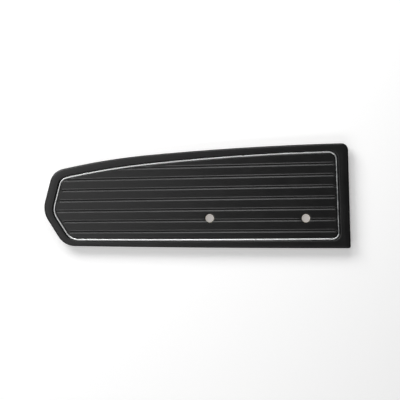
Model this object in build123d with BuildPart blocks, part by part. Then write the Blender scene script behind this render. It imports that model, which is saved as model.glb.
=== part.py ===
from build123d import *
import os

# Lower trim panel of a car door: a hardboard backer padded with foam, wrapped in ribbed black vinyl, framed
# by a bright bead, and held to the door by spring clips that sit in slots in the board. Millimetres.
#
# The panel stands upright as it does on the door: X runs towards the rear, Z is up, and the trimmed face
# looks along -Y. The origin is the middle of the mounting plane, where the turned-over hem rests on the door.
# Sketches of the panel's face are drawn with X along the panel and Y up, and laid at a depth, which counts
# forward from the mounting plane.

# ---- outline, over the sharp corners before they are rounded ----
length = 692.0  # nose corner to lower rear corner
height = 236.4  # lower rear corner to upper rear corner
nose_rise = 82.5  # nose corner above the lower rear corner
front_drop = 63.9  # upper front corner below the upper rear corner
front_rake = 23.0  # upper front corner behind the nose corner
toe_rake = 49.1  # lower front corner behind the nose corner
toe_rise = 5.2  # lower front corner above the lower rear corner
rear_lean = 6.6  # upper rear corner ahead of the lower rear corner
brow_run = 218.7  # upper front corner back to where the top edge's two arcs meet
brow_rise = 37.3  # and how far that meeting point is above the corner
brow_angle = 14.0  # slope of the top edge at the upper front corner, in degrees
bottom_sag = 1.3  # how far the bottom edge bows down between its corners

upper_front_radius = 37.0
nose_radius = 55.0
toe_radius = 44.0
heel_radius = 4.6
upper_rear_radius = 15.3

# ---- bead line: how far it stands in from each sharp corner of the outline, as (along, up) ----
bead_in_upper_front = (19.4, -16.7)
bead_in_nose = (23.8, -0.9)
bead_in_toe = (14.6, 14.1)
bead_in_heel = (-26.1, 20.8)
bead_in_upper_rear = (-26.4, -19.8)
bead_in_brow = (0.0, -20.7)
bead_brow_angle = 12.95  # slope of the bead's top run at its front corner, in degrees
bead_upper_front_radius = 20.0
bead_nose_radius = 37.0
bead_toe_radius = 31.0
bead_heel_radius = 13.5
bead_upper_rear_radius = 16.2

# ---- layers ----
skin = 1.0  # vinyl
board_thickness = 3.2
field_foam = 3.4  # foam sheet, at its full thickness
seal_foam = 1.4  # foam sheet, crushed under the heat-sealed channel that holds the bead
border_foam = 4.0  # roll laid on the sheet round the border
roll_radius = 3.0  # front edge of the padded border, under the vinyl
border_inner_radius = 2.0  # where the border turns down to the bead, under the vinyl
field_edge_radius = 0.4  # edge of the ribbed field, under the vinyl
wrap_radius = 0.8  # where the vinyl turns over the board's back edge

# ---- bright bead ----
bead_width = 4.4
bead_height = 2.2
bead_land = 0.3  # what the crown leaves square, at its top and at its foot
bead_clearance = 0.6  # each side of the bead in its channel
bead_joint_gap = 0.3  # butt joint where the strip's two ends meet
bead_joint_in = 187.0  # joint ahead of the bead's lower rear corner

# ---- heat-sealed ribs of the field ----
rib_pitch_front = 23.2  # spacing at the front end; the ribs fan out towards the rear
rib_pitch_rear = 25.2
rib_rise_front = 17.6  # lowest rib above the bead
rib_rise_rear = 19.5
rib_top_room = 15.0  # least room left over the highest rib, at the rear
rib_groove_radius = 1.6
rib_end_gap = 5.0  # ribs stop this far from the middle of the bead

# ---- armrest holes ----
armrest_hole_radius = 9.5
armrest_hole_spacing = 216.0
armrest_hole_rise = 67.4  # above the lower rear corner
armrest_hole_in = 100.9  # rear hole ahead of the lower rear corner

# ---- hem on the back, and its staples ----
hem_width = 11.5
staple_inset = 6.5  # middle of each crown in from the outline
staple_count = 42
staple_crown = 10.0
staple_wire_width = 1.2
staple_wire_thickness = 0.5
staple_leg = 3.4  # how deep the legs reach from the mounting plane

# ---- spring clips ----
clip_count = 14
clip_width = 9.0
clip_thickness = 0.6
clip_flange = 16.0
clip_leg_gap = 2.8  # between the middles of the two legs
clip_neck = 1.2  # straight stretch behind the mounting plane, where the door's sheet metal sits
clip_flare = 10.4  # widest spread of the two legs
clip_flare_depth = 5.0  # and how far behind the mounting plane it is
clip_tip_depth = 13.0
clip_bend_radius = 0.9
slot_clearance = 0.5
slot_from_hem = 1.5  # board left between the hem's edge and a slot
pocket_clearance = 0.3

# ---- depths, forward from the mounting plane ----
board_back = skin
board_front = board_back + board_thickness
seal_front = board_front + seal_foam + skin
sheet_front = board_front + field_foam
field_front = sheet_front + skin
border_front = sheet_front + border_foam + skin
channel_half_width = bead_width / 2 + bead_clearance

# ---- sharp corners ----
heel = Vector(length / 2, -height / 2)
upper_rear = heel + Vector(-rear_lean, height)
nose = Vector(-length / 2, heel.Y + nose_rise)
upper_front = Vector(nose.X + front_rake, upper_rear.Y - front_drop)
toe = Vector(nose.X + toe_rake, heel.Y + toe_rise)
brow = upper_front + Vector(brow_run, brow_rise)

bead_heel = heel + Vector(*bead_in_heel)
bead_upper_rear = upper_rear + Vector(*bead_in_upper_rear)
bead_nose = nose + Vector(*bead_in_nose)
bead_upper_front = upper_front + Vector(*bead_in_upper_front)
bead_toe = toe + Vector(*bead_in_toe)
bead_brow = brow + Vector(*bead_in_brow)


def panel_shape(corners, brow_point, angle):
    """The panel's shape, from {corner: radius}: upper front, nose, toe, heel, upper rear.

    The front and rear are straight, the bottom bows down, and the top is two arcs that meet at brow_point and
    set off from the upper front corner at angle.
    """
    top_front, tip, low_front, low_rear, top_rear = corners
    with BuildSketch() as shape:
        with BuildLine():
            Polyline(top_front, tip, low_front)
            SagittaArc(low_front, low_rear, -bottom_sag)
            Line(low_rear, top_rear)
            front_arc = TangentArc(top_front, brow_point, tangent=Vector(1, 0).rotate(Axis.Z, angle))
            TangentArc(brow_point, top_rear, tangent=front_arc % 1)
        make_face()
        for corner, radius in corners.items():
            fillet(shape.vertices().sort_by_distance(corner)[0], radius)
    return shape.sketch


panel_outline = panel_shape(
    {
        upper_front: upper_front_radius,
        nose: nose_radius,
        toe: toe_radius,
        heel: heel_radius,
        upper_rear: upper_rear_radius,
    },
    brow,
    brow_angle,
)
bead_outline = panel_shape(
    {
        bead_upper_front: bead_upper_front_radius,
        bead_nose: bead_nose_radius,
        bead_toe: bead_toe_radius,
        bead_heel: bead_heel_radius,
        bead_upper_rear: bead_upper_rear_radius,
    },
    bead_brow,
    bead_brow_angle,
)


def inside_outline(inset):
    """The panel's face, drawn in from the outline by inset."""
    return offset(panel_outline, -inset, mode=Mode.PRIVATE) if inset else panel_outline


def inside_bead(outset):
    """The face inside the middle of the bead, drawn out by outset."""
    return offset(bead_outline, outset, mode=Mode.PRIVATE)


def at_depth(depth):
    """The plane of a sketch laid depth in front of the mounting plane."""
    return Plane.XZ.offset(depth)


with BuildPart() as armrest_bores:
    rear_hole = heel + Vector(-armrest_hole_in, armrest_hole_rise)
    with BuildSketch(at_depth(0)):
        with Locations(rear_hole, rear_hole - Vector(armrest_hole_spacing, 0)):
            Circle(armrest_hole_radius)
    extrude(amount=border_front)


def edge_planes(inset, count):
    """Planes on the mounting plane, spaced evenly round it: x runs along the edge, y towards the door."""
    line = inside_outline(inset).wire()
    planes = []
    for number in range(count):
        spot = (number + 0.5) / count
        origin = Plane.XZ.from_local_coords(line @ spot)
        along = Plane.XZ.from_local_coords(line % spot)
        planes.append(Plane(origin=origin, x_dir=along, z_dir=along.cross(Vector(0, 1, 0))))
    return planes


slot_half_length = clip_leg_gap / 2 + clip_bend_radius + slot_clearance
slot_half_width = clip_width / 2 + slot_clearance
clip_planes = edge_planes(hem_width + slot_from_hem + slot_half_width, clip_count)
staple_planes = edge_planes(staple_inset, staple_count)


def rib_grooves(inset):
    """Bars that press the ribs, drawn out by inset all round."""
    rise = bead_heel.Y + rib_rise_rear
    room = bead_upper_rear.Y - rib_top_room - rise
    start = Vector(bead_nose.X, bead_toe.Y + rib_rise_front)
    end = Vector(bead_heel.X, rise)
    with BuildPart() as grooves:
        for number in range(int(room / rib_pitch_rear) + 1):
            front = start + Vector(0, number * rib_pitch_front)
            rear = end + Vector(0, number * rib_pitch_rear)
            axis = at_depth(field_front).from_local_coords(front)
            run = at_depth(field_front).from_local_coords(rear) - axis
            with BuildSketch(Plane(origin=axis, z_dir=run)):
                Circle(rib_groove_radius + inset)
            extrude(amount=run.length)
        with BuildSketch(at_depth(0)):
            add(inside_bead(inset - rib_end_gap))
        extrude(amount=border_front, mode=Mode.INTERSECT)
    return grooves.part


def padded_form(inset, back):
    """The finished panel's outside shape, drawn in by inset, from the depth back to its front."""
    with BuildPart() as form:
        with BuildSketch(at_depth(back)):
            add(inside_outline(inset))
        extrude(amount=border_front - inset - back)
        fillet(form.faces().sort_by(Axis.Y)[0].edges(), roll_radius + skin - inset)
        with BuildSketch(at_depth(seal_front - inset)):
            add(inside_bead(channel_half_width + inset))
        extrude(amount=border_front, mode=Mode.SUBTRACT)
        fillet(form.faces().sort_by(Axis.Y)[0].inner_wires()[0].edges(), border_inner_radius + skin - inset)
        with BuildSketch(at_depth(seal_front - inset)):
            add(inside_bead(-channel_half_width - inset))
        extrude(amount=field_front - seal_front)
        field = form.faces().filter_by(Axis.Y).sort_by_distance(at_depth(field_front - inset).origin)[0]
        fillet(field.edges(), field_edge_radius + skin - inset)
        add(rib_grooves(inset), mode=Mode.SUBTRACT)
    return form.part


# ---- backer board ----
board_outline = inside_outline(skin)

with BuildPart() as staple_set:
    for plane in staple_planes:
        with BuildSketch(plane):
            with BuildLine():
                reach = (staple_crown - staple_wire_thickness) / 2
                crown = -staple_wire_thickness / 2
                Polyline((-reach, -staple_leg), (-reach, crown), (reach, crown), (reach, -staple_leg))
            trace(line_width=staple_wire_thickness)
        extrude(amount=staple_wire_width / 2, both=True)

with BuildPart() as backer_board:
    with BuildSketch(at_depth(board_back)):
        add(board_outline)
    extrude(amount=board_thickness)
    for plane in clip_planes:
        with BuildSketch(plane):
            with Locations((0, -board_front)):
                Rectangle(2 * slot_half_length, board_front, align=(Align.CENTER, Align.MIN))
        extrude(amount=slot_half_width, both=True, mode=Mode.SUBTRACT)
    add(staple_set.part, mode=Mode.SUBTRACT)
    add(armrest_bores.part, mode=Mode.SUBTRACT)

# ---- foam: one sheet over the board, and a roll that thickens the border ----
padding = padded_form(skin, board_front)

with BuildPart() as foam_sheet:
    add(padding)
    split(bisect_by=at_depth(sheet_front), keep=Keep.BOTTOM)
    for plane in clip_planes:
        with BuildSketch(plane):
            with Locations((0, -board_front)):
                Rectangle(
                    clip_flange + 2 * pocket_clearance,
                    clip_thickness + pocket_clearance,
                    align=(Align.CENTER, Align.MAX),
                )
        extrude(amount=clip_width / 2 + pocket_clearance, both=True, mode=Mode.SUBTRACT)
    add(armrest_bores.part, mode=Mode.SUBTRACT)

with BuildPart() as border_roll:
    add(padding)
    split(bisect_by=at_depth(sheet_front), keep=Keep.TOP)

# ---- vinyl cover, turned over the board's edge ----
with BuildPart() as vinyl_cover:
    add(padded_form(0, 0))
    fillet(vinyl_cover.faces().sort_by(Axis.Y)[-1].edges(), wrap_radius)
    add(padding, mode=Mode.SUBTRACT)
    with BuildSketch(at_depth(board_back)):
        add(board_outline)
    extrude(amount=board_thickness, mode=Mode.SUBTRACT)
    with BuildSketch(at_depth(0)):
        add(inside_outline(hem_width))
    extrude(amount=board_back, mode=Mode.SUBTRACT)
    add(staple_set.part, mode=Mode.SUBTRACT)
    add(armrest_bores.part, mode=Mode.SUBTRACT)

# ---- bright bead: a half-round strip bent round the channel, its ends butted on the bottom run ----
with BuildPart() as trim_bead:
    with BuildSketch(at_depth(seal_front)):
        add(inside_bead(bead_width / 2))
        add(inside_bead(-bead_width / 2), mode=Mode.SUBTRACT)
    extrude(amount=bead_height)
    fillet(trim_bead.faces().sort_by(Axis.Y)[0].edges(), min(bead_width / 2, bead_height) - bead_land)
    with BuildSketch(at_depth(0)):
        with Locations(bead_heel - Vector(bead_joint_in, 0)):
            Rectangle(bead_joint_gap, 4 * bead_width)
    extrude(amount=border_front, mode=Mode.SUBTRACT)

# ---- spring clips: one strip each, its flange on the board's face and its barbed legs through the slot ----
flange_depth = -board_front - clip_thickness / 2
half_gap = clip_leg_gap / 2
half_flare = clip_flare / 2
clip_side = [
    (clip_flange / 2, flange_depth),
    (half_gap, flange_depth),
    (half_gap, clip_neck),
    (half_flare, clip_flare_depth),
]
clip_path = [(-along, deep) for along, deep in clip_side] + [(0, clip_tip_depth)] + clip_side[::-1]

spring_clips = []
for plane in clip_planes:
    with BuildPart() as spring_clip:
        with BuildSketch(plane):
            with BuildLine():
                FilletPolyline(*clip_path, radius=clip_bend_radius)
            trace(line_width=clip_thickness)
        extrude(amount=clip_width / 2, both=True)
    spring_clips.append(spring_clip.part)

# ---- every piece, one file each ----
pieces = {
    "backer_board": backer_board.part,
    "foam_sheet": foam_sheet.part,
    "border_roll": border_roll.part,
    "vinyl_cover": vinyl_cover.part,
    "trim_bead": trim_bead.part,
    "staples": staple_set.part,
}
for number, clip in enumerate(spring_clips, start=1):
    pieces[f"spring_clip_{number:02d}"] = clip

os.makedirs("parts", exist_ok=True)
for name, piece in pieces.items():
    piece.label = name
    export_step(piece, f"parts/{name}.step")
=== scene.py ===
"""Looks of a padded car-door trim panel: ribbed vinyl over foam and hardboard, a bead, clips and staples.

The board, the clips and the staples keep their CAD shape and get their finish here. The vinyl, the foam
and the bead are built again from the CAD's sizes, as finer meshes in the same space. Sizes are in
millimetres, with x towards the rear and z up, and depth counts forward from the mounting plane.
"""

import logging
import math
from dataclasses import dataclass, field
from enum import Enum
from typing import Callable

import bmesh
import bpy
import numpy as np
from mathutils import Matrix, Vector
from mathutils.geometry import delaunay_2d_cdt


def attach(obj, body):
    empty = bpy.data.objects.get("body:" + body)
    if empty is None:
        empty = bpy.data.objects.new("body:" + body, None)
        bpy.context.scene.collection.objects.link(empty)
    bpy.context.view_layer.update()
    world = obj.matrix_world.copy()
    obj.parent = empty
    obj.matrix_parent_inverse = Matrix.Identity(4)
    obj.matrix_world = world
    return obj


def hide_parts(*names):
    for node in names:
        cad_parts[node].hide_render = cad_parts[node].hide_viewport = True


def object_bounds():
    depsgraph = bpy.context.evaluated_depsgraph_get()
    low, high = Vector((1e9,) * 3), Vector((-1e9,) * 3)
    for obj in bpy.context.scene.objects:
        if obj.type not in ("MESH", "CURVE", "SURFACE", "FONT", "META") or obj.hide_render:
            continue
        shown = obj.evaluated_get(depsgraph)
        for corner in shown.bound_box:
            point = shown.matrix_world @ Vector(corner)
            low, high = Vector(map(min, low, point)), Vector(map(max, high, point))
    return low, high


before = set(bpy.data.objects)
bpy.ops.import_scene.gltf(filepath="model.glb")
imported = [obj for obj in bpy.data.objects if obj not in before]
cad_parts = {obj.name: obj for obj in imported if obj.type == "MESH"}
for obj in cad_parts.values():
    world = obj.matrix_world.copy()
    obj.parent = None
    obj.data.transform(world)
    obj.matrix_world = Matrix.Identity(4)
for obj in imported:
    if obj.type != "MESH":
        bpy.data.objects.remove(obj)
cad_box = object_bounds()

logging.basicConfig(level=logging.INFO, format="%(message)s")
log = logging.getLogger("door_panel")

MM = 0.001

Tree = bpy.types.NodeTree
Socket = bpy.types.NodeSocket


class Slot(Enum):
    """The record's material slots that the new pieces take."""

    FOAM = "foam"
    VINYL = "vinyl"
    BRIGHT_FILM = "bright_film"


# ---- outline ----


@dataclass(frozen=True)
class Run:
    """One side of an outline between two joints, straight or bowed outwards.

    Args:
        start: where it begins, as (x, z).
        end: where it ends.
        bow: half the angle that it turns by, in radians.
    """

    start: np.ndarray
    end: np.ndarray
    bow: float

    def chord_heading(self) -> float:
        """Returns the direction from start to end, in radians."""
        step = self.end - self.start
        return math.atan2(step[1], step[0])

    def length(self) -> float:
        """Returns the length along the run."""
        chord = float(np.linalg.norm(self.end - self.start))
        return chord * self.bow / math.sin(self.bow) if self.bow else chord

    def heading(self, share: float) -> float:
        """Returns the direction at a share of the run, in radians."""
        return self.chord_heading() + self.bow * (2 * share - 1)

    def at(self, share: float) -> np.ndarray:
        """Finds a point on the run.

        Args:
            share: how far along the run it is, from 0 to 1.

        Returns:
            The point, as (x, z).
        """
        if not self.bow:
            return self.start + share * (self.end - self.start)
        radius = self.length() / (2 * self.bow)
        first, here = self.heading(0), self.heading(share)
        turned = np.array([math.sin(here) - math.sin(first), math.cos(first) - math.cos(here)])
        return self.start + radius * turned


def ahead(heading: float) -> np.ndarray:
    """Returns the unit vector along a heading."""
    return np.array([math.cos(heading), math.sin(heading)])


def outward(heading: float) -> np.ndarray:
    """Returns the unit vector to a heading's right, which is out of an anticlockwise outline."""
    return np.array([math.sin(heading), -math.cos(heading)])


@dataclass(frozen=True)
class Outline:
    """A closed outline of runs with rounded joints, anticlockwise as seen from the trimmed face.

    Args:
        joints: the sharp corners, as (x, z).
        radii: the radius at each joint, or 0 where two runs already meet smoothly.
        bows: the bow of the run that leaves each joint.
        counts: how many points each run gets.
        turn_points: how many points each rounded joint gets.
    """

    joints: tuple[tuple[float, float], ...]
    radii: tuple[float, ...]
    bows: tuple[float, ...]
    counts: tuple[int, ...]
    turn_points: int = 20

    SHARPEST = 0.4
    FITTING_STEPS = 8

    def runs(self) -> list[Run]:
        """Returns the runs between the sharp corners."""
        ends = self.joints[1:] + self.joints[:1]
        return [Run(np.array(a), np.array(b), bow) for a, b, bow in zip(self.joints, ends, self.bows)]

    def offset(self, outset: float) -> "Outline":
        """Draws the outline out, or in.

        Args:
            outset: how far every run moves out along its normal; negative is in.

        Returns:
            The new outline, with as many points as this one.
        """
        runs = self.runs()
        joints = []
        for before, after in zip(runs[-1:] + runs[:-1], runs):
            first, second = outward(before.heading(1)), outward(after.heading(0))
            joints.append(tuple(after.start + outset * (first + second) / (1 + first @ second)))
        radii = tuple(max(r + outset, self.SHARPEST) if r else 0.0 for r in self.radii)
        return Outline(tuple(joints), radii, self.bows, self.counts, self.turn_points)

    def rounding(self, before: Run, after: Run, radius: float) -> tuple[float, float]:
        """Finds where a rounded joint leaves its two runs.

        Args:
            before: the run that ends at the joint.
            after: the run that starts there.
            radius: the joint's radius.

        Returns:
            The distance back along the first run, and forward along the second.
        """
        back = forth = 0.0
        for _ in range(self.FITTING_STEPS):
            a_share, b_share = 1 - back / before.length(), forth / after.length()
            a_heading, b_heading = before.heading(a_share), after.heading(b_share)
            sides = np.column_stack([ahead(a_heading), ahead(b_heading)])
            u, v = np.linalg.solve(sides, after.at(b_share) - before.at(a_share))
            reach = radius * math.tan(((b_heading - a_heading) % (2 * math.pi)) / 2)
            back, forth = back + reach - u, forth + reach - v
        return back, forth

    def loop(self) -> np.ndarray:
        """Lays points round the outline, the same count for every offset.

        Returns:
            The points, as an (n, 2) array.
        """
        runs = self.runs()
        cuts = [
            self.rounding(before, after, radius) if radius else (0.0, 0.0)
            for before, after, radius in zip(runs[-1:] + runs[:-1], runs, self.radii)
        ]
        points = []
        for number, run in enumerate(runs):
            back, forth = cuts[number]
            before, radius = runs[number - 1], self.radii[number]
            if radius:
                a_heading = before.heading(1 - back / before.length())
                turn = (run.heading(forth / run.length()) - a_heading) % (2 * math.pi)
                centre = before.at(1 - back / before.length()) - radius * outward(a_heading)
                for step in range(self.turn_points):
                    points.append(centre + radius * outward(a_heading + turn * step / self.turn_points))
            first = forth / run.length()
            last = 1 - cuts[(number + 1) % len(runs)][0] / run.length()
            for step in range(self.counts[number]):
                points.append(run.at(first + (last - first) * step / self.counts[number]))
        return np.array(points)


@dataclass(frozen=True)
class PanelSizes:
    """The panel's driving sizes, the same as in the CAD model."""

    length: float = 692.0
    height: float = 236.4
    nose_rise: float = 82.5
    front_drop: float = 63.9
    front_rake: float = 23.0
    toe_rake: float = 49.1
    toe_rise: float = 5.2
    rear_lean: float = 6.6
    brow_run: float = 218.7
    brow_rise: float = 37.3
    brow_angle: float = 14.0
    bottom_sag: float = 1.3
    radii: tuple[float, ...] = (37.0, 55.0, 44.0, 4.6, 15.3)
    bead_in: tuple[tuple[float, float], ...] = (
        (19.4, -16.7),
        (23.8, -0.9),
        (14.6, 14.1),
        (-26.1, 20.8),
        (-26.4, -19.8),
        (0.0, -20.7),
    )
    bead_brow_angle: float = 12.95
    bead_radii: tuple[float, ...] = (20.0, 37.0, 31.0, 13.5, 16.2)
    counts: tuple[int, ...] = (16, 16, 190, 70, 132, 66)

    skin: float = 1.0
    board_front: float = 4.2
    seal_front: float = 6.6
    sheet_front: float = 7.6
    field_front: float = 8.6
    border_front: float = 12.6
    bead_width: float = 4.4
    bead_height: float = 2.2
    channel_half: float = 2.8
    hem_width: float = 11.5

    rib_pitch_front: float = 23.2
    rib_pitch_rear: float = 25.2
    rib_rise_front: float = 17.6
    rib_rise_rear: float = 19.5
    rib_count: int = 7

    hole_radius: float = 9.5
    hole_spacing: float = 216.0
    hole_rise: float = 67.4
    hole_in: float = 100.9

    def corners(self) -> list[np.ndarray]:
        """Places the outline's joints.

        Returns:
            The upper front, the nose, the toe, the heel, the upper rear and the brow, as (x, z).
        """
        heel = np.array([self.length / 2, -self.height / 2])
        upper_rear = heel + (-self.rear_lean, self.height)
        nose = np.array([-self.length / 2, heel[1] + self.nose_rise])
        upper_front = np.array([nose[0] + self.front_rake, upper_rear[1] - self.front_drop])
        toe = np.array([nose[0] + self.toe_rake, heel[1] + self.toe_rise])
        brow = upper_front + (self.brow_run, self.brow_rise)
        return [upper_front, nose, toe, heel, upper_rear, brow]

    def shaped(self, joints: list[np.ndarray], radii: tuple[float, ...], angle: float) -> Outline:
        """Makes an outline with a bowed bottom and a top of two tangent arcs.

        Args:
            joints: the six joints, in the order that corners() gives.
            radii: the radii of the first five.
            angle: the top edge's slope at the upper front corner, in degrees.

        Returns:
            The outline.
        """
        upper_front, _, toe, heel, upper_rear, brow = joints
        rise, run = brow - upper_front, upper_rear - brow
        front_bow = math.radians(angle) - math.atan2(rise[1], rise[0])
        rear_bow = math.radians(angle) - 2 * front_bow - math.atan2(run[1], run[0])
        bottom_bow = 2 * math.atan(2 * self.bottom_sag / float(np.linalg.norm(heel - toe)))
        bows = (0.0, 0.0, bottom_bow, 0.0, rear_bow, front_bow)
        return Outline(tuple(tuple(j) for j in joints), radii + (0.0,), bows, self.counts)

    def outline(self) -> Outline:
        """Returns the panel's outline."""
        return self.shaped(self.corners(), self.radii, self.brow_angle)

    def bead_line(self) -> Outline:
        """Returns the line of the bead's middle."""
        joints = [corner + inset for corner, inset in zip(self.corners(), self.bead_in)]
        return self.shaped(joints, self.bead_radii, self.bead_brow_angle)

    def holes(self) -> list[np.ndarray]:
        """Returns the middles of the two armrest holes."""
        rear = self.corners()[3] + (-self.hole_in, self.hole_rise)
        return [rear - (self.hole_spacing, 0.0), rear]

    def ribs(self) -> list[tuple[np.ndarray, np.ndarray]]:
        """Places the ribs, which fan out from front to rear.

        Returns:
            Each rib's front and rear ends, lowest first, level with the bead's corners.
        """
        joints = [corner + inset for corner, inset in zip(self.corners(), self.bead_in)]
        front = np.array([joints[1][0], joints[2][1] + self.rib_rise_front])
        rear = np.array([joints[3][0], joints[3][1] + self.rib_rise_rear])
        return [
            (front + (0.0, n * self.rib_pitch_front), rear + (0.0, n * self.rib_pitch_rear))
            for n in range(self.rib_count)
        ]


# ---- mesh work ----


@dataclass(frozen=True)
class Station:
    """One closed loop of a surface.

    Args:
        points: the loop, as an (n, 2) array of (x, z).
        depth: how far forward each point is.
    """

    points: np.ndarray
    depth: np.ndarray | float

    def placed(self) -> np.ndarray:
        """Returns the loop in space, as an (n, 3) array in metres."""
        depth = np.broadcast_to(self.depth, len(self.points))
        return np.column_stack([self.points[:, 0], -depth, self.points[:, 1]]) * MM


def smooth_step(value: np.ndarray, low: float, high: float) -> np.ndarray:
    """Returns 0 below low, 1 above high and a smooth rise between them."""
    share = np.clip((value - low) / (high - low), 0, 1)
    return share * share * (3 - 2 * share)


def distance_to(points: np.ndarray, loop: np.ndarray) -> np.ndarray:
    """Measures how far points are from a closed loop.

    Args:
        points: an (n, 2) array.
        loop: the loop's points.

    Returns:
        Each point's distance from the nearest side.
    """
    batch = 2000
    step = np.roll(loop, -1, axis=0) - loop
    squared = (step**2).sum(axis=1)
    nearest = np.empty(len(points))
    for first in range(0, len(points), batch):
        part = points[first : first + batch, None, :] - loop[None]
        share = np.clip((part * step).sum(axis=2) / squared, 0, 1)
        gap = part - share[:, :, None] * step
        nearest[first : first + batch] = np.sqrt((gap**2).sum(axis=2).min(axis=1))
    return nearest


def is_inside(points: np.ndarray, loop: np.ndarray) -> np.ndarray:
    """Tells which points lie inside a closed loop.

    Args:
        points: an (n, 2) array.
        loop: the loop's points.

    Returns:
        True for each point inside.
    """
    inside = np.zeros(len(points), bool)
    x, z = points[:, 0], points[:, 1]
    for (ax, az), (bx, bz) in zip(loop, np.roll(loop, -1, axis=0)):
        if az != bz:
            inside ^= ((az > z) != (bz > z)) & (x < (bx - ax) * (z - az) / (bz - az) + ax)
    return inside


def circle(middle: np.ndarray, radius: float, count: int) -> np.ndarray:
    """Returns a circle's points, anticlockwise."""
    turn = np.linspace(0, 2 * math.pi, count, endpoint=False)
    return middle + radius * np.column_stack([np.cos(turn), np.sin(turn)])


@dataclass
class FlatFill:
    """A triangulated flat region: a rim, holes, loops that the triangles keep to, and loose points.

    Args:
        rim: the outer loop.
        holes: loops that bound the holes.
        kept: further loops whose edges the triangles keep.
        loose: points with no edges of their own.
    """

    rim: np.ndarray
    holes: list[np.ndarray] = field(default_factory=list)
    kept: list[np.ndarray] = field(default_factory=list)
    loose: np.ndarray | None = None

    MERGE = 1e-4

    def triangulate(self) -> tuple[np.ndarray, list[tuple[int, ...]], list[np.ndarray]]:
        """Triangulates the region.

        Returns:
            The points, the triangles, anticlockwise, and the point numbers of the rim and of each hole.
        """
        loops = [self.rim, *self.holes, *self.kept]
        given, edges, marks = [], [], []
        for loop in loops:
            first = len(given)
            numbers = np.arange(first, first + len(loop))
            marks.append(numbers)
            given.extend(loop.tolist())
            edges.extend(zip(numbers.tolist(), np.roll(numbers, -1).tolist()))
        if self.loose is not None:
            given.extend(self.loose.tolist())
        sides = [Vector(point) for point in given]
        points, _, faces, sources, _, _ = delaunay_2d_cdt(sides, edges, [], 0, self.MERGE, True)
        place = {old: new for new, olds in enumerate(sources) for old in olds}
        flat = np.array([tuple(p) for p in points])
        middles = np.array([flat[list(face)].mean(axis=0) for face in faces])
        wanted = is_inside(middles, self.rim)
        for hole in self.holes:
            wanted &= ~is_inside(middles, hole)
        kept_faces = [tuple(face) for face, keep in zip(faces, wanted) if keep]
        rings = [np.array([place[n] for n in mark]) for mark in marks[: 1 + len(self.holes)]]
        return flat, kept_faces, rings


class SurfaceMesh:
    """Gathers points and faces, and turns them into an object."""

    def __init__(self) -> None:
        """Starts with no points."""
        self.points: list[np.ndarray] = []
        self.faces: list[tuple[int, ...]] = []
        self.count = 0

    def add_points(self, points: np.ndarray) -> np.ndarray:
        """Adds points in space.

        Args:
            points: an (n, 3) array in metres.

        Returns:
            Their numbers.
        """
        self.points.append(points)
        self.count += len(points)
        return np.arange(self.count - len(points), self.count)

    def add_loops(self, stations: list[Station]) -> list[np.ndarray]:
        """Joins closed loops of equal count with bands of quads.

        Args:
            stations: the loops, in order across the surface.

        Returns:
            The point numbers of each loop.
        """
        rings = [self.add_points(station.placed()) for station in stations]
        for ring, inner in zip(rings, rings[1:]):
            self.bridge(ring, inner)
        return rings

    def bridge(self, ring: np.ndarray, inner: np.ndarray) -> None:
        """Joins two closed rings of equal count with quads, facing forward where inner lies inside ring."""
        ahead_ring, ahead_inner = np.roll(ring, -1), np.roll(inner, -1)
        self.faces.extend(zip(ring.tolist(), ahead_ring.tolist(), ahead_inner.tolist(), inner.tolist()))

    def fill(
        self, region: FlatFill, depth: Callable, rim: np.ndarray, turned: bool = False
    ) -> list[np.ndarray]:
        """Fills a flat region inside a ring that is already there.

        Args:
            region: the region.
            depth: gives the depth at each of its points.
            rim: the ring's point numbers, which take the place of the region's own rim.
            turned: whether it faces the back.

        Returns:
            The point numbers round each hole.
        """
        points, triangles, marks = region.triangulate()
        numbers = self.add_points(Station(points, depth(points)).placed())
        numbers[marks[0]] = rim
        order = -1 if turned else 1
        self.faces.extend(tuple(numbers[list(face[::order])].tolist()) for face in triangles)
        return [numbers[mark] for mark in marks[1:]]

    def to_object(self, name: str) -> bpy.types.Object:
        """Makes the object, smooth shaded and with no loose points.

        Args:
            name: the piece's name.

        Returns:
            The new object.
        """
        mesh = bpy.data.meshes.new(name)
        mesh.from_pydata(np.concatenate(self.points).tolist(), [], self.faces)
        mesh.validate()
        clean = bmesh.new()
        clean.from_mesh(mesh)
        bmesh.ops.delete(clean, geom=[vert for vert in clean.verts if not vert.link_faces], context="VERTS")
        clean.to_mesh(mesh)
        clean.free()
        mesh.shade_smooth()
        piece = bpy.data.objects.new(name, mesh)
        bpy.context.scene.collection.objects.link(piece)
        return piece


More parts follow.
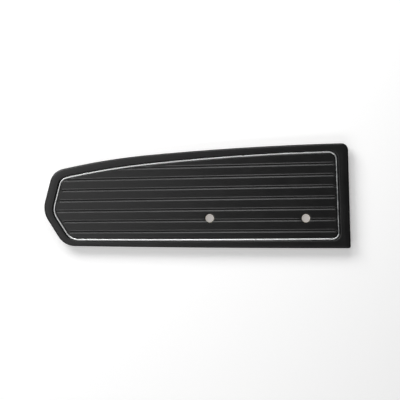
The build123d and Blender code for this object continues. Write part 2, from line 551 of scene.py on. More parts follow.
@dataclass
class PaddedForm:
    """The finished panel's shape, as the vinyl or the foam under it follows it.

    Args:
        sizes: the panel's sizes.
        inset: how far inside the vinyl's outer surface this form lies.
        roll, inner_roll: the radii of the border's outer edge and of its drop to the bead.
        groove_drop: how far the bottom of a rib's groove lies below the rib's line.
        groove_above, groove_below: how far the groove reaches to each side of that.
        ridge_reach, ridge_half: how far above it the padding swells, and half that swelling's width.
        rib_start, rib_taper: how far inside the bead a rib starts, and how far it takes to deepen.
        edge_clear, hole_clear: how far loose points keep from the field's edge and from a hole's.
    """

    sizes: PanelSizes
    inset: float = 0.0
    roll: float = 3.9
    inner_roll: float = 2.4
    border_crown: float = 0.25
    edge_roll: float = 1.3
    groove_depth: float = 1.3
    groove_drop: float = 1.3
    groove_above: float = 2.1
    groove_below: float = 3.7
    ridge_height: float = 0.6
    ridge_reach: float = 2.9
    ridge_half: float = 1.2
    rib_start: float = 2.8
    rib_taper: float = 1.4
    hole_roll: float = 1.3
    hole_draw: float = 0.45
    ripple: float = 0.12
    waver_start: float = 12.0
    channel_corner: float = 0.35
    wall_foot: float = 1.2
    floor_half: float = 0.8
    least_edge: float = 0.3
    hole_points: int = 72
    edge_clear: float = 2.9
    hole_clear: float = 3.9

    def __post_init__(self) -> None:
        """Makes the outlines once."""
        self.outline = self.sizes.outline()
        self.bead_line = self.sizes.bead_line()
        self.bead_loop = self.bead_line.loop()
        self.top = self.sizes.border_front - self.border_crown - self.inset
        self.wall = self.sizes.channel_half + self.inset
        self.field_edge = max(self.edge_roll - self.inset, self.least_edge)

    def from_edge(self, inset: float) -> np.ndarray:
        """Returns the loop that lies inset in from the panel's outline."""
        return self.outline.offset(-inset).loop()

    def from_bead(self, outset: float) -> np.ndarray:
        """Returns the loop that lies outset out from the bead's middle."""
        return self.bead_line.offset(outset).loop()

    def waver(self, points: np.ndarray) -> np.ndarray:
        """Gives stretched padding its slight unevenness.

        Args:
            points: an (n, 2) array.

        Returns:
            How far each point stands proud.
        """
        x, z = points[:, 0], points[:, 1]
        long = np.sin(x / 41 + z / 23) + np.sin(x / 67 - z / 31 + 1.7)
        return self.ripple * (0.35 * long + 0.25 * np.sin(x / 13 + z / 19 + 0.6) * np.sin(z / 11 - x / 29))

    def border(self, foot: float) -> list[Station]:
        """Lays the border's loops, over its outer roll, its crown and its inner roll.

        Args:
            foot: the depth at which the outer side starts.

        Returns:
            The loops, from the outside in.
        """
        roll, inner_roll = self.roll - self.inset, self.inner_roll - self.inset
        outer, inner = self.from_edge(self.inset + roll), self.from_bead(self.wall + inner_roll)
        side_top = self.top - roll
        side = self.from_edge(self.inset)
        stations = [Station(side, foot + share * (side_top - foot)) for share in (0, 0.35, 0.7)]
        for turn in np.linspace(0, math.pi / 2, 8):
            loop = self.from_edge(self.inset + roll * (1 - math.cos(turn)))
            stations.append(Station(loop, side_top + roll * math.sin(turn)))
        for share in np.linspace(0, 1, 9)[1:-1]:
            loop = outer + share * (inner - outer)
            crown = self.border_crown * math.sin(math.pi * share) ** 2
            stations.append(Station(loop, self.top + crown + self.waver(loop)))
        for turn in np.linspace(math.pi / 2, 0, 7):
            loop = self.from_bead(self.wall + inner_roll * (1 - math.cos(turn)))
            stations.append(Station(loop, self.top - inner_roll * (1 - math.sin(turn))))
        return stations

    def channel(self) -> list[Station]:
        """Lays the loops across the bead's channel and up the field's edge.

        Returns:
            The loops, from the outside in.
        """
        floor, corner = self.sizes.seal_front - self.inset, self.channel_corner
        profile = (
            (self.wall, self.wall_foot),
            (self.wall, corner),
            (self.wall - corner, 0.0),
            (self.floor_half, 0.0),
            (-self.floor_half, 0.0),
            (corner - self.wall, 0.0),
            (-self.wall, corner),
        )
        stations = [Station(self.from_bead(outset), floor + rise) for outset, rise in profile]
        foot = self.sizes.field_front - self.inset - self.field_edge
        for turn in np.linspace(0, math.pi / 2, 6):
            loop = self.from_bead(-self.wall - self.field_edge * (1 - math.cos(turn)))
            stations.append(Station(loop, foot + self.field_edge * math.sin(turn) + self.fall(loop)))
        return stations

    def fall(self, points: np.ndarray) -> np.ndarray:
        """Shapes the field: its ribs, the drawn-in vinyl round its holes and its unevenness.

        Args:
            points: an (n, 2) array inside the bead.

        Returns:
            Each point's depth, less the field's nominal depth.
        """
        inside = distance_to(points, self.bead_loop)
        present = smooth_step(inside, self.rib_start, self.rib_start + self.rib_taper)
        relief = np.zeros(len(points))
        for front, rear in self.sizes.ribs():
            along = (rear - front) / np.linalg.norm(rear - front)
            off = (points - front) @ np.array([-along[1], along[0]]) + self.groove_drop
            share = np.where(off > 0, off / self.groove_above, -off / self.groove_below)
            groove = np.where(share < 1, np.cos(math.pi / 2 * share) ** 2, 0)
            ridge = np.exp(-(((off - self.ridge_reach) / self.ridge_half) ** 2))
            relief += self.ridge_height * ridge - self.groove_depth * groove
        relief *= present
        for middle in self.sizes.holes():
            gap = np.linalg.norm(points - middle, axis=1) - self.sizes.hole_radius
            drawn = 1 - smooth_step(gap, 0, 3 * self.hole_roll)
            relief -= self.hole_draw * drawn**2
        return relief + self.waver(points) * smooth_step(inside, self.sizes.channel_half, self.waver_start)

    def field_fill(self, spacing: float, offsets: tuple[float, ...]) -> FlatFill:
        """Lays out the field's triangles: rows along the ribs, and rings round the edge and the holes.

        Args:
            spacing: how far apart the points of a row are.
            offsets: where the rows lie on each side of a rib.

        Returns:
            The region to fill.
        """
        edge = self.wall + self.field_edge
        rings = [self.from_bead(-edge - step) for step in (0.7, 1.4, 2.2)]
        middles, radius, count = self.sizes.holes(), self.sizes.hole_radius, self.hole_points
        holes = [circle(middle, radius, count) for middle in middles]
        round_holes = [circle(at, radius + step, count) for at in middles for step in (0.5, 1.1, 2.0, 3.2)]
        half, pitch = self.sizes.length / 2, self.sizes.rib_pitch_front
        columns = np.arange(-half, half, spacing)
        ribs, rows = self.sizes.ribs(), []
        for front, rear in [ribs[0], *ribs]:
            lean = (rear - front)[1] / (rear - front)[0]
            down = 0.0 if rows else -pitch
            for step in (*offsets, 0.36 * pitch, 0.5 * pitch, 0.64 * pitch):
                height = front[1] + (columns - front[0]) * lean + step + down
                rows.append(np.column_stack([columns, height]))
        loose = np.concatenate(rows)
        loose = loose[is_inside(loose, rings[-1])]
        loose = loose[distance_to(loose, self.bead_loop) > edge + self.edge_clear]
        for middle in middles:
            loose = loose[np.linalg.norm(loose - middle, axis=1) > radius + self.hole_clear]
        return FlatFill(self.from_bead(-edge), holes, [*rings, *round_holes], loose)


# ---- finishes ----


def linear(hex_colour: str) -> tuple[float, float, float, float]:
    """Turns an sRGB hex colour, such as "#1a2b3c", into linear RGBA."""
    parts = [int(hex_colour[i : i + 2], 16) / 255 for i in (1, 3, 5)]
    return (*[c / 12.92 if c <= 0.04045 else ((c + 0.055) / 1.055) ** 2.4 for c in parts], 1.0)


def empty_tree(owner: bpy.types.Material | bpy.types.World) -> Tree:
    """Clears a material's or a world's nodes.

    Args:
        owner: the material or the world.

    Returns:
        Its node tree.
    """
    owner.use_nodes = True
    owner.node_tree.nodes.clear()
    return owner.node_tree


def add_node(tree: Tree, kind: str, inputs: dict | None = None, **settings: object) -> bpy.types.Node:
    """Adds a node with its settings and links.

    Args:
        tree: the node tree.
        kind: the node's type name, without its "ShaderNode" start.
        inputs: a value, or a socket to link from, for each input by name or number.
        settings: the node's own properties.

    Returns:
        The new node.
    """
    node = tree.nodes.new(f"ShaderNode{kind}")
    for name, value in settings.items():
        setattr(node, name, value)
    for key, value in (inputs or {}).items():
        if isinstance(value, Socket):
            tree.links.new(value, node.inputs[key])
        else:
            node.inputs[key].default_value = value
    return node


def set_stops(ramp: bpy.types.Node, *stops: tuple[float, str]) -> None:
    """Sets a colour ramp's stops.

    Args:
        ramp: the colour ramp node.
        stops: each stop's position and its sRGB hex colour, in rising order.
    """
    elements = ramp.color_ramp.elements
    while len(elements) < len(stops):
        elements.new(0.5)
    for element, (position, colour) in zip(elements, stops):
        element.position, element.color = position, linear(colour)


@dataclass(frozen=True)
class Finish:
    """A surface finish, made into one material.

    Args:
        name: the real material and how its surface was made.
        colour: its sRGB hex colour.
        roughness: the middle of its roughness.
        metallic: 1 for bare metal, else 0.
        ior: its index of refraction.
        relief: how strongly its relief shows, from 0 to 1.
        relief_height: how high its relief is.
    """

    name: str
    colour: str
    roughness: float
    metallic: float = 0.0
    ior: float = 1.5
    relief: float = 0.8
    relief_height: float = 0.1

    def material(self) -> bpy.types.Material:
        """Makes the material, or finds it if it is already made.

        Returns:
            The material.
        """
        made = bpy.data.materials.get(self.name)
        if made:
            return made
        made = bpy.data.materials.new(self.name)
        tree = empty_tree(made)
        where = add_node(tree, "TexCoord").outputs["Object"]
        place = add_node(tree, "Mapping", {"Vector": where, "Scale": (1 / MM,) * 3}).outputs[0]
        colour, roughness, height = self.surface(tree, place)
        bump = {"Height": height, "Strength": self.relief, "Distance": self.relief_height * MM}
        settings = {
            "Base Color": colour,
            "Roughness": roughness,
            "Metallic": self.metallic,
            "IOR": self.ior,
            "Normal": add_node(tree, "Bump", bump).outputs[0],
        }
        shader = add_node(tree, "BsdfPrincipled", settings)
        add_node(tree, "OutputMaterial", {"Surface": shader.outputs[0]})
        made.diffuse_color = linear(self.colour)
        return made

    def surface(self, tree: Tree, place: Socket) -> tuple[Socket, Socket, Socket]:
        """Builds the texture nodes.

        Args:
            tree: the material's node tree.
            place: the position in millimetres.

        Returns:
            Its colour, its roughness and its relief.
        """
        raise NotImplementedError

    def mottled(self, tree: Tree, place: Socket, size: float, spread: float) -> tuple[Socket, Socket]:
        """Makes roughness that varies in soft patches.

        Args:
            tree: the material's node tree.
            place: the position in millimetres.
            size: how wide a patch is, in millimetres.
            spread: how far roughness strays to either side.

        Returns:
            The roughness, and the patches that it follows.
        """
        patches = add_node(tree, "TexNoise", {"Vector": place, "Scale": 1 / size, "Detail": 3.0})
        limits = {
            "Value": patches.outputs[0],
            "From Min": 0.3,
            "From Max": 0.7,
            "To Min": self.roughness - spread,
            "To Max": self.roughness + spread,
        }
        return add_node(tree, "MapRange", limits).outputs[0], patches.outputs[0]


@dataclass(frozen=True)
class GrainedVinyl(Finish):
    """Plasticised PVC sheet, embossed with fine grain: black, with a broad sheen that the grain breaks up.

    Args:
        grain: how wide a pebble is.
        pore_share: how deep the pores between pebbles are, as a share of the pebbles' height.
    """

    paler: str = "#0f0f0f"
    # The real grain is about 0.4 mm wide, too fine to show, so it is drawn three times as coarse.
    grain: float = 1.3
    pore_share: float = 0.35

    def surface(self, tree: Tree, place: Socket) -> tuple[Socket, Socket, Socket]:
        """Builds pebbled grain, bent and broken up by finer noise, and soft patches of sheen.

        Args:
            tree: the material's node tree.
            place: the position in millimetres.

        Returns:
            Its colour, its roughness and its relief.
        """
        warp = add_node(tree, "TexNoise", {"Vector": place, "Scale": 0.9, "Detail": 2.0})
        mixed = {0: place, 1: warp.outputs["Color"]}
        bent = add_node(tree, "VectorMath", mixed, operation="ADD").outputs[0]
        pebbles = {"Vector": bent, "Scale": 1 / self.grain}
        cells = add_node(tree, "TexVoronoi", pebbles, feature="SMOOTH_F1").outputs["Distance"]
        pores = add_node(tree, "TexNoise", {"Vector": place, "Scale": 2.2, "Detail": 2.0})
        tops = add_node(tree, "Math", {0: cells, 1: -1.0}, operation="MULTIPLY")
        summed = {0: pores.outputs[0], 1: self.pore_share, 2: tops.outputs[0]}
        height = add_node(tree, "Math", summed, operation="MULTIPLY_ADD")
        roughness, patches = self.mottled(tree, place, size=35.0, spread=0.02)
        tones = {"Factor": patches, 6: linear(self.colour), 7: linear(self.paler)}
        colour = add_node(tree, "Mix", tones, data_type="RGBA")
        return colour.outputs[2], roughness, height.outputs[0]


@dataclass(frozen=True)
class MetallisedFilm(Finish):
    """Polyester film with vacuum-coated aluminium, over a plastic bead: a bright mirror, faintly rippled.

    Its rear run is drawn greyer, in patches: painted shade, for the dimmer reflection that run gets from
    the lights.

    Args:
        shade_start: how far along the panel the painted shade begins.
        shade_full: where the painted shade covers the film all over.
        shade_patch_size: how far apart the painted shade's patches are.
    """

    # Painted shade: the grey that the film's rear run is mixed towards.
    shaded_grey: str = "#8b8d8e"
    shade_start: float = 305.0
    shade_full: float = 315.0
    shade_patch_size: float = 10.0
    ripple: float = 9.0

    def surface(self, tree: Tree, place: Socket) -> tuple[Socket, Socket, Socket]:
        """Builds the ripple, and the painted shade that greys the rear run in faint patches.

        Args:
            tree: the material's node tree.
            place: the position in millimetres.

        Returns:
            Its colour, its roughness and its relief.
        """
        # Painted shade: past a point along the panel, the film's colour is mixed towards grey in patches.
        along = add_node(tree, "SeparateXYZ", {"Vector": place}).outputs["X"]
        reach = {"Value": along, "From Min": self.shade_start, "From Max": self.shade_full}
        marks = {"Vector": place, "Scale": 1 / self.shade_patch_size, "Detail": 3.0}
        shade_patches = add_node(tree, "TexNoise", marks).outputs[0]
        patchy_shade = {"Value": shade_patches, "From Min": 0.35, "From Max": 0.6, "To Min": 0.5}
        both = {
            0: add_node(tree, "MapRange", reach, interpolation_type="SMOOTHSTEP").outputs[0],
            1: add_node(tree, "MapRange", patchy_shade).outputs[0],
        }
        share = add_node(tree, "Math", both, operation="MULTIPLY").outputs[0]
        tones = {"Factor": share, 6: linear(self.colour), 7: linear(self.shaded_grey)}
        colour = add_node(tree, "Mix", tones, data_type="RGBA")
        ripple = add_node(tree, "TexNoise", {"Vector": place, "Scale": 1 / self.ripple, "Detail": 1.0})
        roughness, _ = self.mottled(tree, place, size=14.0, spread=0.04)
        return colour.outputs[2], roughness, ripple.outputs[0]


@dataclass(frozen=True)
class PressedHardboard(Finish):
    """Wood fibre, hot-pressed on a mesh: matt brown, flecked with fibres, its back marked by the mesh.

    Args:
        mesh_pitch: how far apart the mesh's wires are.
        fleck_share: how much the flecks count in its colour.
        stain_share: how much the stains count.
        fibre_share: how high the flecks stand, as a share of the mesh's marks.
    """

    dark: str = "#3a3028"
    pale: str = "#877566"
    mesh_pitch: float = 1.8
    stain: float = 60.0
    fleck_share: float = 0.7
    stain_share: float = 0.5
    fibre_share: float = 0.8

    def surface(self, tree: Tree, place: Socket) -> tuple[Socket, Socket, Socket]:
        """Builds flecks of light and dark fibre, stains, and the crossed marks of the mesh.

        Args:
            tree: the material's node tree.
            place: the position in millimetres.

        Returns:
            Its colour, its roughness and its relief.
        """
        stretch = add_node(tree, "Mapping", {"Vector": place, "Scale": (0.25, 1.0, 1.4)})
        fibres = {"Vector": stretch.outputs[0], "Scale": 0.9, "Detail": 8.0}
        flecks = add_node(tree, "TexNoise", fibres).outputs[0]
        stains = add_node(tree, "TexNoise", {"Vector": place, "Scale": 1 / self.stain, "Detail": 4.0})
        tint = add_node(tree, "Math", {0: flecks, 1: self.fleck_share}, operation="MULTIPLY")
        summed = {0: stains.outputs[0], 1: self.stain_share, 2: tint.outputs[0]}
        both = add_node(tree, "Math", summed, operation="MULTIPLY_ADD")
        ramp = add_node(tree, "ValToRGB", {"Fac": both.outputs[0]})
        set_stops(ramp, (0.35, self.dark), (0.6, self.colour), (0.85, self.pale))
        # A wave texture repeats every 2 pi / 20 of its scaled space.
        wave_scale = 2 * math.pi / (20 * self.mesh_pitch)
        wires = {"Vector": place, "Scale": wave_scale, "Distortion": 0.6, "Detail": 1.0}
        weave = {
            number: add_node(tree, "TexWave", wires, bands_direction=way).outputs["Fac"]
            for number, way in enumerate(("X", "Z"))
        }
        mesh = add_node(tree, "Math", weave, operation="MULTIPLY")
        relief = {0: flecks, 1: self.fibre_share, 2: mesh.outputs[0]}
        height = add_node(tree, "Math", relief, operation="MULTIPLY_ADD")
        roughness, _ = self.mottled(tree, place, size=20.0, spread=0.08)
        return ramp.outputs[0], roughness, height.outputs[0]


@dataclass(frozen=True)
class OpenCellFoam(Finish):
    """Aged polyurethane foam, blown and sliced: buff, quite matt and full of small pores."""

    # Painted shade: the darker colour drawn in each pore's middle.
    pore_shade: str = "#7d7452"
    cell: float = 0.9

    def surface(self, tree: Tree, place: Socket) -> tuple[Socket, Socket, Socket]:
        """Builds the pores, with painted shade darkening their middles.

        Args:
            tree: the material's node tree.
            place: the position in millimetres.

        Returns:
            Its colour, its roughness and its relief.
        """
        grid = {"Vector": place, "Scale": 1 / self.cell}
        cells = add_node(tree, "TexVoronoi", grid).outputs["Distance"]
        ramp = add_node(tree, "ValToRGB", {"Fac": cells})
        # Painted shade: the ramp draws each pore's middle darker.
        set_stops(ramp, (0.05, self.pore_shade), (0.6, self.colour))
        roughness, _ = self.mottled(tree, place, size=12.0, spread=0.04)
        return ramp.outputs[0], roughness, cells


@dataclass(frozen=True)
class PlatedSteel(Finish):
    """Zinc-plated rolled steel: pale grey metal with a soft, cloudy lustre and fine rolling lines."""

    tarnish: str = "#8d8c80"
    # Real rolling lines are some 0.05 mm apart, too fine to show, so they are drawn coarser.
    line_pitch: float = 0.35

    def surface(self, tree: Tree, place: Socket) -> tuple[Socket, Socket, Socket]:
        """Builds the cloudy plating, its tarnish and the rolling lines.

        Args:
            tree: the material's node tree.
            place: the position in millimetres.

        Returns:
            Its colour, its roughness and its relief.
        """
        roughness, patches = self.mottled(tree, place, size=3.0, spread=0.08)
        tones = {"Factor": patches, 6: linear(self.tarnish), 7: linear(self.colour)}
        colour = add_node(tree, "Mix", tones, data_type="RGBA")
        drawn = add_node(tree, "Mapping", {"Vector": place, "Scale": (1.0, 0.05, 1.0)}).outputs[0]
        lines = add_node(tree, "TexNoise", {"Vector": drawn, "Scale": 1 / self.line_pitch, "Detail": 2.0})
        return colour.outputs[2], roughness, lines.outputs[0]


VINYL = GrainedVinyl("embossed_black_vinyl", "#09090a", 0.325, ior=1.53)
FILM = MetallisedFilm(
    "metallised_polyester_film", "#f5f6f6", 0.33, metallic=1.0, relief=0.2, relief_height=0.03
)
HARDBOARD = PressedHardboard("pressed_hardboard", "#63554a", 0.78, relief_height=0.25)
FOAM = OpenCellFoam("open_cell_foam", "#cdc39b", 0.95, ior=1.4, relief=0.9, relief_height=0.4)
SPRING_STEEL = PlatedSteel(
    "zinc_plated_spring_steel", "#c4c5c0", 0.34, metallic=1.0, relief=0.4, relief_height=0.03
)
STAPLE_WIRE = PlatedSteel(
    "galvanised_wire", "#b5b8ba", 0.4, metallic=1.0, relief=0.4, relief_height=0.03, tarnish="#87898a"
)


# ---- the object's pieces ----


def finish_piece(piece: bpy.types.Object, finish: Finish) -> None:
    """Gives a piece its one material, and logs its face count and finish.

    Args:
        piece: the object.
        finish: what it is made of.
    """
    piece.data.materials.clear()
    piece.data.materials.append(finish.material())
    log.info("%s: %d faces, %s", piece.name, len(piece.data.polygons), finish.name)


def node_middles(node: str) -> np.ndarray:
    """Finds the middle of each separate solid of a CAD node.

    Args:
        node: the node's name.

    Returns:
        The middles, as an (n, 2) array of (x, z).
    """
    mesh = bmesh.new()
    mesh.from_mesh(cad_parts[node].data)
    bmesh.ops.remove_doubles(mesh, verts=mesh.verts, dist=1e-7)
    left, middles = set(mesh.verts), []
    while left:
        todo, island = [left.pop()], []
        while todo:
            vert = todo.pop()
            island.append(vert.co)
            for edge in vert.link_edges:
                other = edge.other_vert(vert)
                if other in left:
                    left.remove(other)
                    todo.append(other)
        places = np.array([tuple(co) for co in island]) / MM
        middles.append(((places.min(axis=0) + places.max(axis=0)) / 2)[[0, 2]])
    mesh.free()
    return np.array(middles)


@dataclass
class VinylCover:
    """The vinyl sheet: pressed over the foam, turned over the board's edge and stapled behind.

    Args:
        form: the finished panel's shape.
        skin_share: the sheet's thickness, as a share of the CAD's, thinner so that it clears the foam.
        wrap: the radius of the turn behind the panel's edge.
        hem_steps: where the hem's loops are, from its cut edge at 0 to the turn at 1.
        ragged_share: how much of the hem follows the ragged cut.
        dent_reach: how far from a staple's middle the dent starts to fade, and ends.
        rows: where the field's rows of points are, across a rib.
    """

    form: PaddedForm
    skin_share: float = 0.7
    wrap: float = 1.5
    hem_depth: float = 0.3
    hem_steps: tuple[float, ...] = (0, 0.1, 0.25, 0.36, 0.44, 0.52, 0.64, 0.8)
    ragged_share: float = 0.2
    hem_waver: float = 0.28
    hem_ripple: float = 0.1
    pleat_height: float = 0.75
    pleats: int = 5
    staple_dent: float = 0.22
    dent_reach: tuple[float, float] = (2.0, 9.0)
    column_spacing: float = 5.0
    rows: tuple[float, ...] = (
        *(-6.9, -5.9, -5.1, -4.4, -3.7, -3.0, -2.3, -1.8, -1.3, -0.9, -0.5, -0.1, 0.3),
        *(0.7, 1.1, 1.5, 1.9, 2.3, 2.7, 3.2, 3.8, 4.6, 5.8),
    )

    def hem(self) -> list[Station]:
        """Lays the turned-over hem's loops.

        Returns:
            The loops, from the hem's cut edge out to the panel's side.
        """
        form, hem_width = self.form, self.form.sizes.hem_width
        staples = node_middles("staples")
        stations = []
        for share in self.hem_steps:
            inset = hem_width + share * (self.wrap - hem_width)
            loop = form.from_edge(inset)
            if share < self.ragged_share:
                loop = loop + (1 - share / self.ragged_share) * self.raggedness(loop, inset)
            gap = np.linalg.norm(loop[:, None, :] - staples[None], axis=2).min(axis=1)
            dent = self.staple_dent * (1 - smooth_step(gap, *self.dent_reach))
            proud = (1 - share) * self.pleated() + self.hem_ripple * form.waver(loop)
            stations.append(Station(loop, self.hem_depth + dent - proud))
        for turn in np.linspace(0, math.pi / 2, 5):
            depth = self.hem_depth + self.wrap * (1 - math.cos(turn))
            stations.append(Station(form.from_edge(self.wrap * (1 - math.sin(turn))), depth))
        return stations

    def raggedness(self, loop: np.ndarray, inset: float) -> np.ndarray:
        """Makes a cut edge uneven, as shears leave it.

        Args:
            loop: the cut edge's points.
            inset: how far in from the panel's outline they are.

        Returns:
            The step that each point takes, towards the outline or away.
        """
        number = np.arange(len(loop))
        ragged = np.sin(number / 3.1) + 0.6 * np.sin(number / 7.3 + 1) + 0.5 * np.sin(number / 1.7 + 2)
        step = self.form.from_edge(inset - 1.0) - loop
        return self.hem_waver * ragged[:, None] * step / np.linalg.norm(step, axis=1)[:, None]

    def pleated(self) -> np.ndarray:
        """Gathers the hem into pleats round each rounded corner.

        Returns:
            How far each point of a loop stands proud.
        """
        outline = self.form.outline
        height = []
        for radius, count in zip(outline.radii, outline.counts):
            if radius:
                share = np.arange(outline.turn_points) / outline.turn_points
                height.append(np.sin(math.pi * share) * np.sin(math.pi * self.pleats * share) ** 2)
            height.append(np.zeros(count))
        return self.pleat_height * np.concatenate(height)

    def blank(self) -> tuple[tuple[float, float], float]:
        """Measures the flat sheet: the outline with the padded edge's depth and the hem on every side.

        Returns:
            Its width and height, in metres, and its area, in square metres.
        """
        sizes, outline = self.form.sizes, self.form.outline.loop() * MM
        turned = (sizes.border_front + sizes.hem_width) * MM
        after = np.roll(outline, -1, axis=0)
        face = abs(float(np.sum(outline[:, 0] * after[:, 1] - outline[:, 1] * after[:, 0]))) / 2
        round_edge = float(np.linalg.norm(after - outline, axis=1).sum())
        width, height = np.ptp(outline, axis=0) + 2 * turned
        return (float(width), float(height)), face + round_edge * turned

    def build(self) -> bpy.types.Object:
        """Returns:
            The piece.
        """
        form, sizes = self.form, self.form.sizes
        surface = SurfaceMesh()
        hem = self.hem()
        rings = surface.add_loops(hem + form.border(float(np.max(hem[-1].depth)))[1:] + form.channel())
        field_points = form.field_fill(self.column_spacing, self.rows)
        surface.fill(field_points, lambda points: sizes.field_front + form.fall(points), rings[-1])
        piece = surface.to_object("vinyl_sheet")
        thickness = piece.modifiers.new("thickness", "SOLIDIFY")
        thickness.thickness, thickness.offset = self.skin_share * sizes.skin * MM, -1.0
        thickness.use_rim = True
        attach(piece, "root")
        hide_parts("vinyl_cover")
        flat, area = self.blank()
        log.info("vinyl blank %.0f x %.0f mm, %.3f m2", flat[0] / MM, flat[1] / MM, area)
        finish_piece(piece, VINYL)
        return piece


@dataclass
class TrimBead:
    """The bright half-round bead: one strip bent round the channel, its ends butted on the bottom run.

    Args:
        form: the finished panel's shape.
        joint_in: how far from the lower rear corner the ends meet.
        seat: how far the strip stands off the channel's floor.
        squareness: 2 for a round top, and more for a squarer one.
    """

    form: PaddedForm
    joint_in: float = 187.0
    joint_gap: float = 0.3
    seat: float = 0.02
    side_height: float = 0.3
    squareness: float = 2.15
    profile_points: int = 15

    def build(self) -> bpy.types.Object:
        """Builds the strip with its two cut ends, and gives it its finish.

        Returns:
            The piece.
        """
        form, sizes = self.form, self.form.sizes
        half, height = sizes.bead_width / 2, sizes.bead_height
        turns = np.linspace(0, math.pi, self.profile_points)
        across = np.sign(np.cos(turns)) * np.abs(np.cos(turns)) ** (2 / self.squareness)
        up = np.sin(turns) ** (2 / self.squareness)
        crown = zip(half * across, self.side_height + (height - self.side_height) * up)
        profile = [(half, 0.0), *crown, (-half, 0.0)]
        heel = sizes.corners()[3] + sizes.bead_in[3]
        start = int(np.argmin(np.linalg.norm(form.bead_loop - (heel - (self.joint_in, 0)), axis=1)))
        surface = SurfaceMesh()
        rails = []
        for outset, rise in profile:
            loop = np.roll(form.from_bead(outset), -start - 1, axis=0)
            seam = (loop[0] + loop[-1]) / 2
            step = (loop[0] - loop[-1]) / np.linalg.norm(loop[0] - loop[-1]) * self.joint_gap / 2
            loop = np.vstack([seam + step, loop, seam - step])
            rails.append(surface.add_points(Station(loop, sizes.seal_front + self.seat + rise).placed()))
        for rail, after in zip(rails, rails[1:] + rails[:1]):
            quads = np.column_stack([rail[:-1], rail[1:], after[1:], after[:-1]])
            surface.faces.extend(tuple(quad) for quad in quads.tolist())
        surface.faces.append(tuple(int(rail[0]) for rail in rails))
        surface.faces.append(tuple(int(rail[-1]) for rail in reversed(rails)))
        piece = surface.to_object("bright_bead")
        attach(piece, "root")
        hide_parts("trim_bead")
        finish_piece(piece, FILM)
        return piece


@dataclass
class Padding:
    """The foam under the vinyl: a sheet over the whole board, and a roll that thickens the border.

    Args:
        form: the foam's shape, inside the vinyl's.
        slack: the gap between one foam piece and the next.
        clip_reach: how far from a clip's middle the sheet lies on its flange.
        clip_clear: how high the flange lifts it.
        bulge: how far the cut foam swells into a hole.
        rows: where the field's rows of points are, across a rib.
    """

    form: PaddedForm
    slack: float = 0.05
    rim_gap: float = 0.2
    clip_reach: float = 9.5
    clip_slope: float = 3.0
    clip_clear: float = 0.75
    bulge: float = 0.35
    column_spacing: float = 9.0
    rows: tuple[float, ...] = (-8.0, -6.0, -4.5, -3.2, -2.0, -1.0, 0.0, 1.2, 2.4, 3.6, 5.4)

    def build_roll(self) -> bpy.types.Object:
        """Builds the border's roll, a closed ring of foam.

        Returns:
            The piece.
        """
        form = self.form
        foot = form.sizes.sheet_front + self.slack
        surface = SurfaceMesh()
        rings = surface.add_loops([*form.border(foot), Station(form.from_bead(form.wall), foot)])
        surface.bridge(rings[-1], rings[0])
        piece = surface.to_object("border_padding")
        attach(piece, "root")
        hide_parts("border_roll")
        finish_piece(piece, FOAM)
        return piece

    def underside(self, points: np.ndarray, clips: np.ndarray) -> np.ndarray:
        """Lays the sheet on the board, lifted over each clip's flange.

        Args:
            points: an (n, 2) array.
            clips: the clips' middles.

        Returns:
            The depth at each point.
        """
        gap = np.linalg.norm(points[:, None, :] - clips[None], axis=2).min(axis=1)
        lifted = 1 - smooth_step(gap, self.clip_reach, self.clip_reach + self.clip_slope)
        return self.form.sizes.board_front + self.clip_clear * lifted

    def build_sheet(self) -> bpy.types.Object:
        """Builds the sheet: crushed under the channel, ribbed with the field, with its hole walls bulging.

        Returns:
            The piece.
        """
        form, sizes = self.form, self.form.sizes
        clips = np.concatenate([node_middles(name) for name in sorted(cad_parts) if "clip" in name])
        top, base = sizes.sheet_front - self.slack, sizes.board_front
        front = sizes.field_front - form.inset - self.slack
        rim = form.from_edge(form.inset + self.rim_gap)
        stations = [Station(rim, base), Station(rim, top)]
        stations.append(Station(form.from_bead(form.wall + self.rim_gap), top))
        surface = SurfaceMesh()
        rings = surface.add_loops(stations + form.channel()[1:])
        field_points = form.field_fill(self.column_spacing, self.rows)
        fronts = surface.fill(field_points, lambda points: front + form.fall(points), rings[-1])
        lifts = [self.clip_reach + share * self.clip_slope for share in (0, 0.5, 1)]
        flanges = [circle(clip, lift, 24) for clip in clips for lift in lifts]
        back = FlatFill(rim, field_points.holes, flanges)
        backs = surface.fill(back, lambda points: self.underside(points, clips), rings[0], turned=True)
        for front_ring, back_ring, middle in zip(fronts, backs, sizes.holes()):
            bulged = circle(middle, sizes.hole_radius - self.bulge, form.hole_points)
            waist = surface.add_points(Station(bulged, (base + top) / 2).placed())
            surface.bridge(waist, front_ring)
            surface.bridge(back_ring, waist)
        piece = surface.to_object("foam_pad")
        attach(piece, "root")
        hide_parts("foam_sheet")
        finish_piece(piece, FOAM)
        return piece


@dataclass
class Hardware:
    """The pieces whose CAD shape stays.

    Args:
        finishes: the finish of the nodes whose names start with each word.
    """

    finishes: tuple[tuple[str, Finish], ...] = (
        ("backer_board", HARDBOARD),
        ("staples", STAPLE_WIRE),
        ("spring_clip", SPRING_STEEL),
    )

    def dress(self) -> None:
        """Gives each of them its finish."""
        for name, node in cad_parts.items():
            for start, finish in self.finishes:
                if name.startswith(start):
                    finish_piece(node, finish)


# ---- studio ----


@dataclass(frozen=True)
class Softbox:
    """A rectangular studio light.

    Args:
        name: its name.
        place: where its middle is, in metres.
        aim: the point that it faces.
        size: its width and height, in metres.
        radiance: how bright its face is, where 1 is the white of lit paper.
    """

    name: str
    place: tuple[float, float, float]
    aim: tuple[float, float, float]
    size: tuple[float, float]
    radiance: float

    def switch_on(self) -> None:
        """Adds the light, which stays out of the camera's sight."""
        lamp = bpy.data.lights.new(self.name, "AREA")
        lamp.shape = "RECTANGLE"
        lamp.size, lamp.size_y = self.size
        lamp.energy = self.radiance * math.pi * self.size[0] * self.size[1]
        stand = bpy.data.objects.new(self.name, lamp)
        stand.location = self.place
        stand.rotation_euler = (Vector(self.aim) - Vector(self.place)).to_track_quat("-Z", "Y").to_euler()
        stand.visible_camera = False
        bpy.context.scene.collection.objects.link(stand)


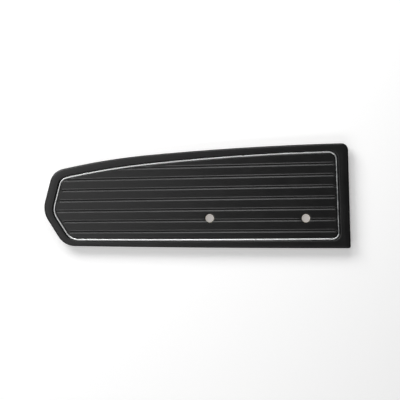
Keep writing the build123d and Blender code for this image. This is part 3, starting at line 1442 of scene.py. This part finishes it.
@dataclass
class Studio:
    """A pale floor, a white sheet behind the panel, softboxes and a long-lens camera, in metres.

    Args:
        view_width: how wide the view is at the mounting plane.
        lens, sensor: the camera's focal length and its sensor's width, in millimetres.
        centre: where the camera looks, as (x, z).
        backdrop_gap: how far behind the clips the sheet is.
        dim: how bright the room is towards the camera.
        bright: how bright it is behind the panel.
    """

    view_width: float = 0.9
    lens: float = 120.0
    sensor: float = 36.0
    centre: tuple[float, float] = (0.00736, -0.00986)
    reach: float = 3.0
    floor_drop: float = 0.45
    backdrop_gap: float = 0.002
    dim: float = 0.045
    bright: float = 0.45
    softboxes: tuple[Softbox, ...] = (
        Softbox("key", (-1.38, -1.55, 1.55), (0.0, 0.0, 0.0), (1.4, 1.4), 7.5),
        Softbox("overhead", (0.15, -1.2, 1.25), (0.15, 0.0, 0.0), (0.64, 0.8), 4.9),
        Softbox("left_bank", (-1.9, -3.3, 0.0), (-1.9, 0.0, 0.0), (3.5, 2.2), 1.0),
        Softbox("low_fill", (-0.4, -1.3, -1.1), (-0.1, 0.0, 0.0), (2.4, 0.5), 2.0),
        Softbox("rear_bank", (0.7, 2.4, 0.9), (0.0, 0.0, 0.0), (2.6, 2.2), 3.6),
    )

    def plane(self, name: str, corners: list[tuple], shade: bpy.types.Material) -> None:
        """Adds a flat stage piece that only the camera sees.

        Args:
            name: its name.
            corners: its corners, in metres.
            shade: its material.
        """
        mesh = bpy.data.meshes.new(name)
        mesh.from_pydata(corners, [], [tuple(range(len(corners)))])
        piece = bpy.data.objects.new(name, mesh)
        piece.data.materials.append(shade)
        bpy.context.scene.collection.objects.link(piece)
        for ray in ("diffuse", "glossy", "shadow", "transmission"):
            setattr(piece, f"visible_{ray}", False)

    def paper(self, name: str, colour: str, glow: float, one_sided: bool = False) -> bpy.types.Material:
        """Makes matt paper.

        Args:
            name: the material's name.
            colour: its sRGB hex colour.
            glow: the light that comes through it from behind.
            one_sided: whether its back lets the view through.

        Returns:
            The material.
        """
        made = bpy.data.materials.new(name)
        tree = empty_tree(made)
        white = linear("#ffffff")
        matt = add_node(tree, "BsdfDiffuse", {"Color": linear(colour)}).outputs[0]
        lit = add_node(tree, "Emission", {"Color": white, "Strength": glow}).outputs[0]
        matt = add_node(tree, "AddShader", {0: matt, 1: lit}).outputs[0]
        if one_sided:
            side = add_node(tree, "NewGeometry").outputs["Backfacing"]
            clear = add_node(tree, "BsdfTransparent").outputs[0]
            matt = add_node(tree, "MixShader", {0: side, 1: matt, 2: clear}).outputs[0]
        add_node(tree, "OutputMaterial", {"Surface": matt})
        return made

    def lay_stage(self) -> None:
        """Adds the floor, and the sheet that hangs just behind the clips."""
        low, high = cad_box
        far, floor, wall = self.reach, low.z - self.floor_drop, high.y + self.backdrop_gap
        top = floor + far
        ground = [(-far, -far, floor), (far, -far, floor), (far, far, floor), (-far, far, floor)]
        sheet = [(-far, wall, floor), (far, wall, floor), (far, wall, top), (-far, wall, top)]
        self.plane("floor", ground, self.paper("pale_floor", "#e9e9e9", glow=0.35))
        self.plane("backdrop", sheet, self.paper("white_sheet", "#f3f3f3", glow=0.28, one_sided=True))

    def light_room(self) -> None:
        """Switches on the softboxes and the room's light: white to the camera, else dim in front."""
        for softbox in self.softboxes:
            softbox.switch_on()
        world = bpy.data.worlds.new("studio_light")
        bpy.context.scene.world = world
        tree, white = empty_tree(world), linear("#ffffff")
        seen = add_node(tree, "LightPath").outputs["Is Camera Ray"]
        full = add_node(tree, "Background", {"Color": white, "Strength": 1.0})
        way = add_node(tree, "TexCoord").outputs["Generated"]
        rearward = add_node(tree, "SeparateXYZ", {0: way}).outputs["Y"]
        limits = {"Value": rearward, "From Max": 0.8, "To Min": self.dim, "To Max": self.bright}
        strength = add_node(tree, "MapRange", limits).outputs[0]
        dim = add_node(tree, "Background", {"Color": white, "Strength": strength})
        mixed = {0: seen, 1: dim.outputs[0], 2: full.outputs[0]}
        sky = add_node(tree, "MixShader", mixed)
        add_node(tree, "OutputWorld", {"Surface": sky.outputs[0]})
        bpy.context.scene.view_settings.view_transform = "Standard"

    def place_camera(self) -> None:
        """Adds the camera, straight in front of the panel."""
        lens = bpy.data.cameras.new("camera")
        lens.lens, lens.sensor_width = self.lens, self.sensor
        camera = bpy.data.objects.new("camera", lens)
        distance = self.view_width * self.lens / self.sensor
        camera.location = (self.centre[0], -distance, self.centre[1])
        camera.rotation_euler = (math.pi / 2, 0, 0)
        bpy.context.scene.collection.objects.link(camera)
        bpy.context.scene.camera = camera


def main() -> None:
    sizes = PanelSizes()
    studio = Studio()
    studio.lay_stage()
    studio.light_room()
    studio.place_camera()
    panel = PaddedForm(sizes)
    VinylCover(panel).build()
    TrimBead(panel).build()
    # The foam's grooves are wider and deeper than the vinyl's, so that it stays under the vinyl.
    slacker = {"groove_depth": 1.5, "groove_above": 3.4, "groove_below": 5.4, "ridge_height": 0.1}
    padding = Padding(PaddedForm(sizes, inset=sizes.skin + 0.1, **slacker))
    padding.build_roll()
    padding.build_sheet()
    Hardware().dress()


if __name__ == "__main__":
    main()
